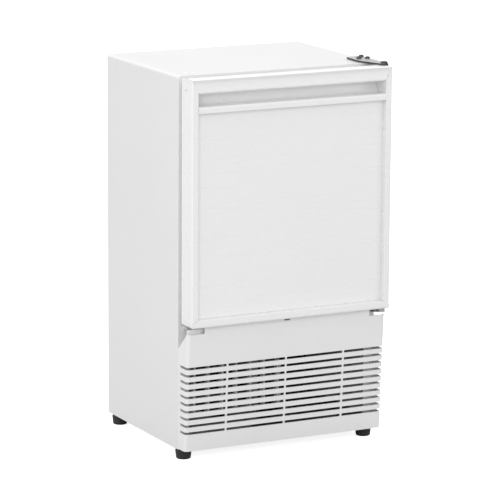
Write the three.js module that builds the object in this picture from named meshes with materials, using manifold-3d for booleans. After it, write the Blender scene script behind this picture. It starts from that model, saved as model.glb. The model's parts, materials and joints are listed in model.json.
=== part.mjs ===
// Undercounter ice maker, millimetres, +Z up, front toward -Y, standing on z = 0.
// Origin: middle of the footprint at floor level.
import * as THREE from 'three';
import { mergeVertices } from 'three/addons/utils/BufferGeometryUtils.js';
import Module from 'manifold-3d';

const wasm = await Module();
wasm.setup();

// ---------------------------------------------------------------- driving dimensions
const DOOR_WIDTH = 376;
const CABINET_WIDTH = 375;
const CABINET_TOP = 654;
const UNDERSIDE = 18;
const TOTAL_DEPTH = 334;
const CABINET_DEPTH = 282;
const DOOR_THICKNESS = 44;
const DOOR_BOTTOM = 236;
const GAP = 0.3;
const SHEET = 1.2;
const FLANGE = 20;

const REAR = TOTAL_DEPTH / 2;
const CABINET_FRONT = REAR - CABINET_DEPTH;
const DOOR_FRONT = -TOTAL_DEPTH / 2;
const DOOR_REAR = DOOR_FRONT + DOOR_THICKNESS;
const SIDE = CABINET_WIDTH / 2;
const INSIDE = SIDE - SHEET - 2 * GAP;
const DOOR_SIDE = DOOR_WIDTH / 2;

// hinge line of the door
const HINGE_X = 180;
const HINGE_Y = -151;
const PIN_RADIUS = 4;

// storage compartment: outer faces of the plastic liner
const LINER = { side: 151, floor: 262, roof: 620, back: 130, wall: 3 };
const MACHINE_ROOF = 229;

// ice mould and its turning axis
const MOULD = { left: -112, right: 54, axisY: 62, axisZ: 530, bore: 31, wall: 4, cells: 7 };
const CASE = { left: 57, right: 104, front: 24, back: 98, bottom: 484, top: 562, wall: 2 };
const GEAR = { module: 1.5, teeth: 32, pinionTeeth: 8, left: 62, width: 6 };

// pipe chases in the back of the foam
const FILL_X = -128;
const SUCTION_X = 118;
const PIPE_Y = 156;

// ---------------------------------------------------------------- materials
const finish = (color, roughness, metalness) =>
  new THREE.MeshStandardMaterial({ color, roughness, metalness });
const WHITE_PAINT = finish('#e6e6e3', 0.42, 0);
const WHITE_PLASTIC = finish('#ececea', 0.4, 0);
const PANEL_PAINT = finish('#eeeeec', 0.33, 0);
const LINER_PLASTIC = finish('#e9ecec', 0.45, 0);
const FOAM = finish('#e3cf98', 0.95, 0);
const ZINC = finish('#a9adae', 0.4, 0.9);
const DARK_STEEL = finish('#4a4b4c', 0.38, 0.85);
const RUBBER = finish('#232323', 0.85, 0);
const BLACK_PAINT = finish('#1b1c1d', 0.45, 0.2);
const BLACK_PLASTIC = finish('#202122', 0.5, 0);
const ALUMINIUM = finish('#b9bcbd', 0.42, 0.9);
const COPPER = finish('#b4764f', 0.35, 0.95);
const GREY_PLASTIC = finish('#b9bdbf', 0.5, 0);
const CLEAR_BIN = finish('#dfe8ec', 0.3, 0);
const GASKET = finish('#d8d8d4', 0.8, 0);
const NYLON = finish('#f1efe6', 0.5, 0);

const machine = new THREE.Group();

// ---------------------------------------------------------------- shape helpers
function outward(geometry) {
  const flat = geometry.index ? geometry.toNonIndexed() : geometry;
  const p = flat.attributes.position;
  const [a, b, c] = [new THREE.Vector3(), new THREE.Vector3(), new THREE.Vector3()];
  let volume = 0;
  for (let i = 0; i < p.count; i += 3) {
    a.fromBufferAttribute(p, i);
    b.fromBufferAttribute(p, i + 1);
    c.fromBufferAttribute(p, i + 2);
    volume += a.dot(b.cross(c));
  }
  if (volume >= 0) return flat;
  for (let i = 0; i < p.count; i += 3) {
    b.fromBufferAttribute(p, i + 1);
    c.fromBufferAttribute(p, i + 2);
    p.setXYZ(i + 1, c.x, c.y, c.z);
    p.setXYZ(i + 2, b.x, b.y, b.z);
  }
  return flat;
}

function solid(geometry) {
  const bare = outward(geometry).clone();
  bare.deleteAttribute('normal');
  bare.deleteAttribute('uv');
  const merged = mergeVertices(bare, 1e-4);
  return new wasm.Manifold(new wasm.Mesh({
    numProp: 3,
    vertProperties: new Float32Array(merged.attributes.position.array),
    triVerts: new Uint32Array(merged.index.array),
  }));
}

const joined = (pieces) => pieces.reduce((whole, piece) => whole.add(piece));
const without = (body, cutters) => cutters.reduce((rest, cutter) => rest.subtract(cutter), body);

function place(name, body, material) {
  const out = body.getMesh();
  const geometry = new THREE.BufferGeometry();
  geometry.setAttribute('position', new THREE.BufferAttribute(new Float32Array(out.vertProperties), 3));
  geometry.setIndex(new THREE.BufferAttribute(new Uint32Array(out.triVerts), 1));
  geometry.computeVertexNormals();
  const mesh = new THREE.Mesh(geometry, material);
  mesh.name = name;
  machine.add(mesh);
}

function outline(points) {
  return new THREE.Shape(points.map(([a, b]) => new THREE.Vector2(a, b)));
}

// prism of a closed outline, pushed from `from` to `to` along one axis
function prism(points, axis, from, to) {
  const shape = points instanceof THREE.Shape ? points : outline(points);
  const g = new THREE.ExtrudeGeometry(shape, { depth: to - from, bevelEnabled: false, curveSegments: 3 });
  g.translate(0, 0, from);
  const turn = new THREE.Matrix4();
  const [X, Y, Z] = [new THREE.Vector3(1, 0, 0), new THREE.Vector3(0, 1, 0), new THREE.Vector3(0, 0, 1)];
  if (axis === 'x') turn.makeBasis(Y, Z, X);
  if (axis === 'y') turn.makeBasis(X, Z, Y);
  g.applyMatrix4(turn);
  return solid(g);
}

function box(x0, x1, y0, y1, z0, z1) {
  const g = new THREE.BoxGeometry(x1 - x0, y1 - y0, z1 - z0);
  g.translate((x0 + x1) / 2, (y0 + y1) / 2, (z0 + z1) / 2);
  return solid(g);
}

function roundRect(a0, a1, b0, b1, radius) {
  const s = new THREE.Shape();
  s.moveTo(a0 + radius, b0);
  s.lineTo(a1 - radius, b0);
  s.absarc(a1 - radius, b0 + radius, radius, -Math.PI / 2, 0, false);
  s.lineTo(a1, b1 - radius);
  s.absarc(a1 - radius, b1 - radius, radius, 0, Math.PI / 2, false);
  s.lineTo(a0 + radius, b1);
  s.absarc(a0 + radius, b1 - radius, radius, Math.PI / 2, Math.PI, false);
  s.lineTo(a0, b0 + radius);
  s.absarc(a0 + radius, b0 + radius, radius, Math.PI, 1.5 * Math.PI, false);
  return s;
}

const roundBox = (x0, x1, y0, y1, z0, z1, radius) => prism(roundRect(x0, x1, y0, y1, radius), 'z', z0, z1);

// turned body: profile of [radius, height] pairs, stood on an axis through (a, b)
function turned(profile, axis, a, b, sides = 16) {
  const g = new THREE.LatheGeometry(profile.map(([r, h]) => new THREE.Vector2(r, h)), sides);
  if (axis === 'z') g.rotateX(Math.PI / 2).translate(a, b, 0);
  if (axis === 'x') g.rotateZ(-Math.PI / 2).translate(0, a, b);
  if (axis === 'y') g.translate(a, 0, b);
  return solid(g);
}

const rod = (radius, axis, a, b, from, to, sides = 14) =>
  turned([[0, from], [radius, from], [radius, to], [0, to]], axis, a, b, sides);

// a wire or pipe whose stations are exactly the listed points
class Run extends THREE.Curve {
  constructor(points) {
    super();
    this.points = points;
  }
  getPoint(t, target = new THREE.Vector3()) {
    const last = this.points.length - 1;
    const i = Math.min(Math.floor(t * last + 1e-9), last - 1);
    return target.lerpVectors(this.points[i], this.points[i + 1], t * last - i);
  }
  getPointAt(u, target) {
    return this.getPoint(u, target);
  }
  getTangentAt(u, target) {
    return this.getTangent(u, target);
  }
}

// corners of a route rounded to arcs of the given bend radius
function bent(corners, radius, steps = 3) {
  const c = corners.map((p) => new THREE.Vector3(...p));
  const out = [c[0]];
  for (let i = 1; i < c.length - 1; i += 1) {
    const reach = Math.min(radius, c[i].distanceTo(c[i - 1]) * 0.48, c[i].distanceTo(c[i + 1]) * 0.48);
    const from = c[i].clone().lerp(c[i - 1], reach / c[i].distanceTo(c[i - 1]));
    const to = c[i].clone().lerp(c[i + 1], reach / c[i].distanceTo(c[i + 1]));
    const arc = new THREE.QuadraticBezierCurve3(from, c[i], to);
    for (let k = 0; k <= steps; k += 1) out.push(arc.getPoint(k / steps));
  }
  out.push(c[c.length - 1]);
  return out;
}

function tube(points, radius, sides = 6) {
  const section = new THREE.Shape();
  section.absarc(0, 0, radius, 0, 2 * Math.PI, false);
  const ring = section.getSpacedPoints(sides).slice(0, sides);
  const g = new THREE.ExtrudeGeometry(new THREE.Shape(ring), {
    steps: points.length - 1,
    bevelEnabled: false,
    extrudePath: new Run(points),
  });
  return solid(g);
}

// ---------------------------------------------------------------- cabinet
function archOutline(inset, bottom) {
  const [side, top, radius] = [SIDE - inset, CABINET_TOP - inset, Math.max(5 - inset, 0.6)];
  const s = new THREE.Shape();
  s.moveTo(-side, bottom);
  s.lineTo(side, bottom);
  s.lineTo(side, top - radius);
  s.absarc(side - radius, top - radius, radius, 0, Math.PI / 2, false);
  s.lineTo(-side + radius, top);
  s.absarc(-side + radius, top - radius, radius, Math.PI / 2, Math.PI, false);
  return s;
}

function outerWrapper() {
  const skin = without(prism(archOutline(0, UNDERSIDE), 'y', CABINET_FRONT, REAR), [
    prism(archOutline(SHEET, UNDERSIDE - 1), 'y', CABINET_FRONT - 1, REAR + 1),
  ]);
  const flange = without(prism(archOutline(0.4, UNDERSIDE), 'y', CABINET_FRONT, CABINET_FRONT + SHEET), [
    prism(archOutline(FLANGE, UNDERSIDE - 1), 'y', CABINET_FRONT - 1, CABINET_FRONT + SHEET + 1),
  ]);
  const used = hingeScrews().map(([x, y]) => [x, y, 2.6]);
  const spare = [[-171, -78, 2.2], [-163, -93, 2.2], [-150, -94, 2.2]];
  const holes = [...used, ...spare];
  const cutters = holes.map(([x, y, r]) => rod(r, 'z', x, y, CABINET_TOP - 8, CABINET_TOP + 2, 12));
  place('outer_wrapper', without(skin.add(flange), cutters), WHITE_PAINT);
}

function rearPanel() {
  const edge = roundRect(-INSIDE, INSIDE, UNDERSIDE + GAP, CABINET_TOP - SHEET - 2 * GAP, 4);
  let panel = prism(edge, 'y', REAR - 1.7, REAR - 0.5);
  const cutters = [];
  for (let row = 0; row < 8; row += 1) {
    const z = 70 + row * 16;
    cutters.push(box(-60, 60, REAR - 4, REAR + 2, z, z + 6));
  }
  cutters.push(rod(13, 'y', FILL_X, 96, REAR - 5, REAR + 3, 20));
  cutters.push(rod(11, 'y', -128, 48, REAR - 5, REAR + 3, 20));
  panel = without(panel, cutters);
  place('rear_panel', panel, ZINC);
}

function basePan() {
  const [front, back] = [CABINET_FRONT + SHEET + 2 * GAP, REAR - 1.7 - GAP];
  const [z0, rim] = [UNDERSIDE + GAP, 14];
  const tray = without(box(-INSIDE, INSIDE, front, back, z0, z0 + rim), [
    box(-INSIDE + SHEET, INSIDE - SHEET, front + SHEET, back - SHEET, z0 + SHEET, z0 + rim + 1),
  ]);
  const vents = [];
  for (let i = 0; i < 5; i += 1) {
    vents.push(roundBox(-150 + i * 26, -138 + i * 26, -50, 30, z0 - 2, z0 + 4, 5.9));
  }
  place('base_pan', without(tray, vents), ZINC);
}

function innerLiner() {
  const { side, floor, roof, back, wall } = LINER;
  const flangeFront = CABINET_FRONT + GAP;
  const inner = prism(roundRect(-side + wall, side - wall, floor + wall, roof - wall, 8), 'y',
    flangeFront - 1, back - wall);
  const shell = prism(roundRect(-side, side, floor, roof, 11), 'y', flangeFront, back);
  const reach = SIDE - FLANGE - GAP;
  const flange = prism(roundRect(-reach, reach, 240.5, CABINET_TOP - FLANGE - GAP, 3), 'y',
    flangeFront, flangeFront + 2.6);
  const holes = [
    rod(6.4, 'y', FILL_X, 596, back - 10, back + 10, 16),
    rod(5, 'y', SUCTION_X, 560, back - 10, back + 10, 16),
  ];
  place('inner_liner', without(shell.add(flange), [inner, ...holes]), LINER_PLASTIC);
}

function foamInsulation() {
  const { side, floor, roof, back } = LINER;
  const [low, high] = [MACHINE_ROOF + SHEET + GAP, CABINET_TOP - SHEET - 2 * GAP];
  const block = prism(roundRect(-INSIDE, INSIDE, low, high, 4), 'y',
    CABINET_FRONT + 3.5, REAR - 2);
  const cavity = prism(roundRect(-side - GAP, side + GAP, floor - GAP, roof + GAP, 11), 'y',
    CABINET_FRONT, back + GAP);
  const chases = [[FILL_X, 596, 8], [SUCTION_X, 560, 6.5]].flatMap(([x, top, r]) => [
    box(x - r, x + r, PIPE_Y - r, REAR + 1, MACHINE_ROOF - 1, top + r),
    rod(r, 'y', x, top, back - 2, PIPE_Y, 16),
  ]);
  place('foam_insulation', without(block, [cavity, ...chases]), FOAM);
}

function dividerPanel() {
  const plate = box(-INSIDE, INSIDE, CABINET_FRONT + 6, REAR - 2, MACHINE_ROOF, MACHINE_ROOF + SHEET);
  const notches = [FILL_X, SUCTION_X].map((x) =>
    box(x - 9, x + 9, PIPE_Y - 10, REAR, MACHINE_ROOF - 2, MACHINE_ROOF + 4));
  place('machine_roof_panel', without(plate, notches), ZINC);
}

function crossmember() {
  const side = SIDE - FLANGE - GAP;
  const face = box(-side, side, CABINET_FRONT + GAP, CABINET_FRONT + 2, 205, 240);
  const shelf = box(-side, side, CABINET_FRONT + 0.6, CABINET_FRONT + 22, 205, 207);
  place('front_crossmember', face.add(shelf), WHITE_PAINT);
}

// cap over the spare lower hinge holes, on the flange at the left
function hingeHoleCap() {
  const front = CABINET_FRONT - GAP;
  const lid = prism(roundRect(-178.5, -168.5, 224, 231, 2), 'y', front - 3, front);
  const button = rod(2, 'y', -173.5, 227.5, front - 4.2, front - 2.5, 12);
  place('hinge_hole_cap', lid.add(button), WHITE_PLASTIC);
}

// ---------------------------------------------------------------- grille
const GRILLE = { top: 233.7, bottom: 20, frontTop: -153.5, frontBottom: -141, wall: 2.6, corner: 6 };

const CATCH = { left: -7, right: 3, low: 231.4, high: 234.4 };

function leaning(points) {
  const slope = (GRILLE.frontTop - GRILLE.frontBottom) / (GRILLE.top - GRILLE.bottom);
  const g = new THREE.ExtrudeGeometry(points, { depth: 240, bevelEnabled: false, curveSegments: 3 });
  g.translate(0, 0, GRILLE.bottom - 10);
  g.applyMatrix4(new THREE.Matrix4().set(
    1, 0, 0, 0,
    0, 1, slope, -slope * GRILLE.bottom,
    0, 0, 1, 0,
    0, 0, 0, 1,
  ));
  return solid(g);
}

function frontGrille() {
  const rear = CABINET_FRONT - GAP;
  const { top, bottom, frontTop, frontBottom, wall, corner } = GRILLE;
  const side = (inset) => [
    [rear + (inset ? 5 : 0), bottom + inset],
    [frontBottom - 20, bottom + inset],
    [frontTop - 20, top - inset],
    [-145, top - inset],
    [-145, 221 - inset],
    [rear, 193 - inset],
    [rear + (inset ? 5 : 0), 193 - inset],
  ];
  const sweep = (inset) => {
    const half = DOOR_SIDE - inset;
    return leaning(roundRect(-half, half, frontBottom + inset, 40, corner - inset));
  };
  const outer = sweep(0).intersect(prism(side(0), 'x', -DOOR_SIDE, DOOR_SIDE));
  const inner = sweep(wall).intersect(prism(side(wall), 'x', -DOOR_SIDE, DOOR_SIDE));
  let shell = outer.subtract(inner);
  const bays = [[-200, -116.5], [-110.5, -5.5], [0.5, 105], [111, 200]];
  const slots = [];
  for (let row = 0; row < 10; row += 1) {
    const z = 164.5 - row * 12.55;
    for (const [x0, x1] of bays) slots.push(box(x0, x1, -170, -122, z - 2.3, z + 2.3));
  }
  shell = without(shell, slots);
  const notches = [-1, 1].map((hand) => {
    const [a, b] = [hand * 157, hand * 200];
    return box(Math.min(a, b), Math.max(a, b), -170, -100, 223, 240);
  });
  notches.push(box(CATCH.left - GAP, CATCH.right + GAP, -170, -100, CATCH.low - GAP, 240));
  shell = without(shell, notches);
  place('front_grille', shell, WHITE_PLASTIC);
  const { left, right, low, high } = CATCH;
  const catchBody = joined([
    box(left, right, -151.5, rear, low, high),
    box(left, right, rear - 2.4, rear, low - 10, high),
  ]);
  place('grille_catch', catchBody, BLACK_PLASTIC);
}

function feet() {
  const profile = [[0, 0], [11.6, 0], [12.6, 1.5], [14, 14.5], [14, 16.5], [13, UNDERSIDE], [0, UNDERSIDE]];
  for (const [end, y] of [['front', -106], ['rear', 148]]) {
    for (const [hand, x] of [['left', -173.5], ['right', 173.5]]) {
      place(`foot_${end}_${hand}`, turned(profile, 'z', x, y, 16), RUBBER);
    }
  }
}

// ---------------------------------------------------------------- hinges
const HINGE_PLATE = { z: CABINET_TOP + GAP, thickness: 3 };

function hingeScrews() {
  return [[168, -85], [183, -66], [183, -88]];
}

function topHinge() {
  const { z, thickness } = HINGE_PLATE;
  const shape = new THREE.Shape();
  shape.moveTo(155, -105);
  shape.lineTo(157, -62);
  shape.lineTo(181, -54);
  shape.lineTo(187.5, -58);
  shape.lineTo(187.5, HINGE_Y);
  shape.absarc(HINGE_X, HINGE_Y, 7.5, 0, -Math.PI * 0.8, true);
  const nose = prism(shape, 'z', z, z + thickness);
  const holes = [...hingeScrews(), [HINGE_X, HINGE_Y]].map(([x, y], i) =>
    rod(i < 3 ? 2.6 : PIN_RADIUS + GAP, 'z', x, y, z - 2, z + thickness + 2, 16));
  place('top_hinge_plate', without(nose, holes), DARK_STEEL);
  const names = ['left', 'rear', 'right'];
  const up = z + thickness + GAP;
  hingeScrews().forEach(([x, y], i) => {
    const shank = [[0, CABINET_TOP - 1], [2.2, CABINET_TOP - 1], [2.2, up]];
    const head = [[4.4, up], [4.4, up + 2], [3, up + 3], [0, up + 3]];
    place(`hinge_screw_${names[i]}`, turned([...shank, ...head], 'z', x, y, 10), DARK_STEEL);
  });
  const low = CABINET_TOP - 15;
  const shaft = [[0, low], [PIN_RADIUS, low], [PIN_RADIUS, up]];
  const cap = [[6, up], [6, up + 1.8], [4.6, up + 3], [0, up + 3]];
  place('top_hinge_pin', turned([...shaft, ...cap], 'z', HINGE_X, HINGE_Y, 18), DARK_STEEL);
}

function bottomHinge() {
  const plan = [[160, -116], [186, -116], [187.5, -152], [184, -159], [172, -159], [160, -138]];
  const arm = prism(plan, 'z', 228.5, 231);
  const foot = box(160, 186, CABINET_FRONT - 2.8, CABINET_FRONT - GAP, 224, 231);
  const gusset = prism([[-117, 223.5], [-117, 230], [-142, 230]], 'x', 172, 174.5);
  const pin = rod(PIN_RADIUS, 'z', HINGE_X, HINGE_Y, 230, 247, 18);
  const collar = rod(7, 'z', HINGE_X, HINGE_Y, 230, 235.5, 18);
  place('bottom_hinge_bracket', joined([arm, foot, gusset, pin, collar]), ZINC);
}

// ---------------------------------------------------------------- door
const STILE = 12;
const BOTTOM_RAIL = 14;
const FRAME_REAR = DOOR_REAR - 5;
const PANEL_FACE = DOOR_FRONT + 11;
const PANEL_BACK = DOOR_FRONT + 14;
const RAIL_LOW = 596.5;
const RECESS_LIP = 608;

const hingeBore = (radius, from, to) => rod(radius, 'z', HINGE_X, HINGE_Y, from, to, 18);

// wedge that trims a frame member along the mitre of a lower corner
function mitre(hand, keep) {
  const [edge, inner] = [hand * (DOOR_SIDE + 1), hand * (DOOR_SIDE - 41)];
  const shift = keep === 'stile' ? GAP / 2 : -GAP / 2;
  const [low, high] = [DOOR_BOTTOM + 8 + shift, DOOR_BOTTOM + 32 + shift];
  const away = keep === 'stile' ? DOOR_BOTTOM - 5 : DOOR_BOTTOM + 60;
  const side = [[edge, low], [inner, high], [inner, away], [edge, away]];
  return prism(side, 'y', DOOR_FRONT - 5, DOOR_REAR + 5);
}

function stile(name, hand) {
  const s = new THREE.Shape();
  const edge = DOOR_SIDE;
  s.moveTo(edge - STILE, FRAME_REAR);
  s.lineTo(edge - STILE, DOOR_FRONT);
  s.lineTo(edge - 5, DOOR_FRONT);
  s.absarc(edge - 5, DOOR_FRONT + 5, 5, -Math.PI / 2, 0, false);
  s.lineTo(edge, FRAME_REAR);
  let body = prism(s, 'z', DOOR_BOTTOM, CABINET_TOP);
  if (hand < 0) body = body.mirror([1, 0, 0]);
  const cutters = [mitre(hand, 'stile')];
  if (hand < 0) cutters.push(rod(2.2, 'x', -143, 634, -DOOR_SIDE - 2, -DOOR_SIDE + 5, 12));
  if (hand > 0) {
    cutters.push(hingeBore(6.3, CABINET_TOP - 18, CABINET_TOP + 2));
    cutters.push(hingeBore(6.3, DOOR_BOTTOM - 2, DOOR_BOTTOM + 14));
  }
  place(name, without(body, cutters), WHITE_PLASTIC);
}

function bottomRail() {
  const profile = [
    [DOOR_FRONT, DOOR_BOTTOM + 3],
    [DOOR_FRONT + 3, DOOR_BOTTOM],
    [FRAME_REAR, DOOR_BOTTOM],
    [FRAME_REAR, DOOR_BOTTOM + BOTTOM_RAIL],
    [DOOR_FRONT, DOOR_BOTTOM + BOTTOM_RAIL],
  ];
  const body = prism(profile, 'x', -DOOR_SIDE, DOOR_SIDE);
  const cutters = [mitre(1, 'rail'), mitre(-1, 'rail'), hingeBore(6.3, DOOR_BOTTOM - 2, DOOR_BOTTOM + 18)];
  place('door_bottom_rail', without(body, cutters), WHITE_PLASTIC);
}

function handleRail() {
  const s = new THREE.Shape();
  const step = DOOR_FRONT + 22;
  s.moveTo(FRAME_REAR, CABINET_TOP - 5);
  s.lineTo(step, CABINET_TOP - 5);
  s.lineTo(step, CABINET_TOP);
  s.lineTo(DOOR_FRONT + 1.5, CABINET_TOP);
  s.lineTo(DOOR_FRONT, CABINET_TOP - 1.5);
  s.quadraticCurveTo(DOOR_FRONT + 4, 640, DOOR_FRONT, 629);
  s.lineTo(DOOR_FRONT + 3, 627.5);
  s.lineTo(DOOR_FRONT + 27, 632);
  s.lineTo(DOOR_FRONT + 33, 627);
  s.lineTo(DOOR_FRONT + 33, RECESS_LIP + 12);
  s.absarc(DOOR_FRONT + 21, RECESS_LIP + 12, 12, 0, -Math.PI / 2, true);
  s.lineTo(DOOR_FRONT + 2, RECESS_LIP);
  s.lineTo(DOOR_FRONT, RECESS_LIP - 2);
  s.lineTo(DOOR_FRONT, RAIL_LOW);
  s.lineTo(FRAME_REAR, RAIL_LOW);
  const side = DOOR_SIDE - STILE - GAP;
  const body = prism(s, 'x', -side, side);
  place('door_handle_rail', body.subtract(hingeBore(6.3, CABINET_TOP - 18, CABINET_TOP + 2)), WHITE_PLASTIC);
}

function doorFilling() {
  const side = DOOR_SIDE - STILE - GAP;
  const [low, high] = [DOOR_BOTTOM + BOTTOM_RAIL + GAP, RAIL_LOW - GAP];
  place('door_insert_panel', box(-side, side, PANEL_FACE, PANEL_BACK, low, high), PANEL_PAINT);
  place('door_foam', box(-side, side, PANEL_BACK + GAP, FRAME_REAR - GAP, low, high), FOAM);
}

function doorLiner() {
  const plate = prism(roundRect(-184, 184, 240, 648, 6), 'y', FRAME_REAR + GAP, FRAME_REAR + 3.2);
  const dike = without(prism(roundRect(-144, 144, 270, 612, 12), 'y', FRAME_REAR + 3, CABINET_FRONT - 4), [
    prism(roundRect(-130, 130, 284, 598, 8), 'y', FRAME_REAR + 3.4, CABINET_FRONT + 2),
  ]);
  place('door_liner', plate.add(dike), LINER_PLASTIC);
  const [back, front] = [FRAME_REAR + 3.5, CABINET_FRONT - GAP];
  const ring = without(prism(roundRect(-181, 181, 246, 645, 4), 'y', back, front), [
    prism(roundRect(-166, 166, 261, 630, 4), 'y', back - 1, front + 1),
  ]);
  const groove = without(prism(roundRect(-183, 183, 244, 647, 4), 'y', back + 3, back + 6), [
    prism(roundRect(-178.5, 178.5, 248.5, 642.5, 3), 'y', back + 2, back + 7),
  ]);
  place('door_gasket', ring.subtract(groove), GASKET);
}

function hingeBushes() {
  const ring = (low, high) =>
    hingeBore(6, low, high).subtract(hingeBore(PIN_RADIUS + GAP, low - 1, high + 1));
  place('door_top_bush', ring(CABINET_TOP - 17.5, CABINET_TOP - GAP), BLACK_PLASTIC);
  place('door_bottom_bush', ring(DOOR_BOTTOM + GAP, DOOR_BOTTOM + 13), BLACK_PLASTIC);
}

// ---------------------------------------------------------------- refrigeration machine
const COMPRESSOR = { x: 86, y: 88, radius: 60, stretch: 1.16 };

function compressor() {
  const { x, y, radius: r, stretch } = COMPRESSOR;
  const profile = [
    [0, 40], [r * 0.6, 42], [r * 0.9, 54], [r, 74], [r, 108], [r + 4, 110], [r + 4, 114], [r, 116],
    [r * 0.97, 136], [r * 0.82, 160], [r * 0.5, 177], [0, 184],
  ];
  const g = new THREE.LatheGeometry(profile.map(([a, b]) => new THREE.Vector2(a, b)), 20);
  g.rotateX(Math.PI / 2).scale(stretch, 1, 1).translate(x, y, 0);
  const holes = mountPoints().map(([a, b]) => rod(4.6, 'z', a, b, 30, 40, 12));
  const plate = without(roundBox(x - 88, x + 88, y - 56, y + 56, 34, 36.5, 12), holes);
  const neck = rod(r * 0.5, 'z', x, y, 35, 44, 16);
  place('compressor', joined([solid(g), plate, neck]), BLACK_PAINT);
  mountPoints().forEach(([a, b], i) => {
    const low = UNDERSIDE + GAP + SHEET + GAP;
    const profile = [[0, low], [10, low], [10, 26], [7, 28], [7, 30], [10, 33.7], [4, 33.7], [4, 41], [0, 41]];
    const grommet = turned(profile, 'z', a, b, 10);
    place(`compressor_grommet_${i + 1}`, grommet, RUBBER);
  });
  const left = x - r * stretch;
  const cover = prism(roundRect(y - 26, y + 26, 70, 134, 8), 'x', left - 24, left - 5.2);
  place('relay_cover', cover, BLACK_PLASTIC);
}

function mountPoints() {
  const { x, y } = COMPRESSOR;
  return [[x - 76, y - 46], [x + 76, y - 46], [x - 76, y + 46], [x + 76, y + 46]];
}

const CONDENSER = { left: -168, right: 20, y: -84, low: 42.6, pitch: 25.1, runs: 5, pipe: 3, strip: 2 };

function condenser() {
  const { left, right, y, low, pitch, runs, pipe, strip } = CONDENSER;
  const corners = [[right + 14, y, low]];
  for (let i = 0; i < runs; i += 1) {
    const z = low + i * pitch;
    const ends = i % 2 === 0 ? [left, right] : [right, left];
    const turnEnd = ends[0];
    corners.push([turnEnd, y, z], [turnEnd, y, z + pitch]);
  }
  corners.splice(corners.length - 1, 1, [left, y, low + (runs - 1) * pitch + 10]);
  const pieces = [tube(bent(corners, 8, 3), pipe, 6)];
  for (let i = 0; i < 7; i += 1) {
    const x = -145 + i * 26.5;
    pieces.push(box(x - strip, x + strip, y - 6, y + 4, low + pitch - 4, low + runs * pitch));
  }
  place('condenser_coil', joined(pieces), WHITE_PAINT);
}

const FAN = { x: -74, z: 106, plateY: -46, radius: 56 };

function coolingFan() {
  const { x, z, plateY, radius } = FAN;
  const plate = without(prism(roundRect(x - 72, x + 72, z - 76, z + 76, 6), 'y', plateY, plateY + 1.6), [
    rod(radius + 4, 'y', x, z, plateY - 2, plateY + 4, 24),
  ]);
  const bore = rod(radius + 4, 'y', x, z, plateY - 1, plateY + 17, 24);
  const ring = rod(radius + 7, 'y', x, z, plateY, plateY + 16, 24).subtract(bore);
  const legs = [x - 69, x + 66].map((a) => box(a, a + 3, plateY, plateY + 44, z - 9, z + 9));
  const rail = box(x - 69, x + 69, plateY + 42, plateY + 44, z - 9, z + 9);
  const bar = rail.subtract(rod(4, 'y', x, z, plateY + 40, plateY + 46, 14));
  const floor = UNDERSIDE + SHEET + 2 * GAP;
  const foot = box(x - 60, x + 60, plateY, plateY + 14, floor, floor + 1.6);
  const apron = box(x - 60, x + 60, plateY, plateY + 1.6, floor, z - 60);
  place('fan_bracket', joined([plate, ring, ...legs, bar, foot, apron]), ZINC);

  const dome = [[0, plateY + 4], [15, plateY + 4], [17, plateY + 7], [17, plateY + 20], [0, plateY + 20]];
  const hub = turned(dome, 'y', x, z, 20);
  const blades = [];
  for (let i = 0; i < 5; i += 1) {
    const blade = outline([[12, -12], [radius - 6, -21], [radius, -4], [radius - 3, 17], [12, 10]]);
    const g = new THREE.ExtrudeGeometry(blade, { depth: 1.8, bevelEnabled: false });
    g.translate(0, 0, -0.9).rotateX(0.38).rotateZ((i * 2 * Math.PI) / 5);
    g.rotateX(Math.PI / 2).translate(x, plateY + 12, z);
    blades.push(solid(g));
  }
  place('fan_blade', joined([hub, ...blades]), BLACK_PLASTIC);
  const back = plateY + 44 + GAP;
  const motor = joined([
    turned([[0, back], [23, back], [25, back + 3], [25, back + 24], [18, back + 31], [0, back + 33]], 'y', x, z, 20),
    box(x - 29, x + 29, back + 6, back + 20, z - 22, z + 22),
    rod(3, 'y', x, z, plateY + 20 + GAP, back + 1, 12),
  ]);
  place('fan_motor', motor, BLACK_PAINT);
}

function waterSupply() {
  const [x, y, z] = [FILL_X, 138, 96];
  const valve = joined([
    roundBox(x - 16, x + 16, y - 18, y + 14, z - 14, z + 14, 4),
    rod(10, 'y', x, z, y + 10, REAR - 3, 18),
    rod(12, 'y', x, z, y - 44, y - 16, 18),
    rod(7, 'z', x, y + 6, z + 12, z + 22, 14),
  ]);
  place('water_valve', valve, BLACK_PLASTIC);
  const route = [[x, y + 6, z + 22 + GAP], [x, y + 6, 150], [x, PIPE_Y, 190], [x, PIPE_Y, 596], [x, 110, 596]];
  place('water_fill_tube', tube(bent(route, 18, 3), 4.2, 7), NYLON);
}

function refrigerantLines() {
  const { x, y } = COMPRESSOR;
  const start = [[x + 36, y + 40, 172], [x + 36, y + 40, 205]];
  const chase = [[SUCTION_X, PIPE_Y, 212], [SUCTION_X, PIPE_Y, 560], [SUCTION_X, 127, 560]];
  const suction = [...start, ...chase];
  place('suction_line', tube(bent(suction, 14, 3), 3.6, 7), COPPER);
  const topOfCoil = CONDENSER.low + (CONDENSER.runs - 1) * CONDENSER.pitch + 10;
  const discharge = [
    [x - 20, y - 34, 178], [x - 20, y - 34, 204], [x - 20, -14, 204], [CONDENSER.left, -14, 204],
    [CONDENSER.left, CONDENSER.y, 204], [CONDENSER.left, CONDENSER.y, topOfCoil + GAP],
  ];
  place('discharge_line', tube(bent(discharge, 14, 3), 3.2, 7), COPPER);
  const dryer = [
    [0, -62], [3, -62], [3, -50], [10, -44], [11, -40], [11, 0], [10, 6], [3, 12], [3, 22], [0, 22],
  ];
  place('filter_drier', turned(dryer, 'y', 60, CONDENSER.low, 16), COPPER);
}

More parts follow.
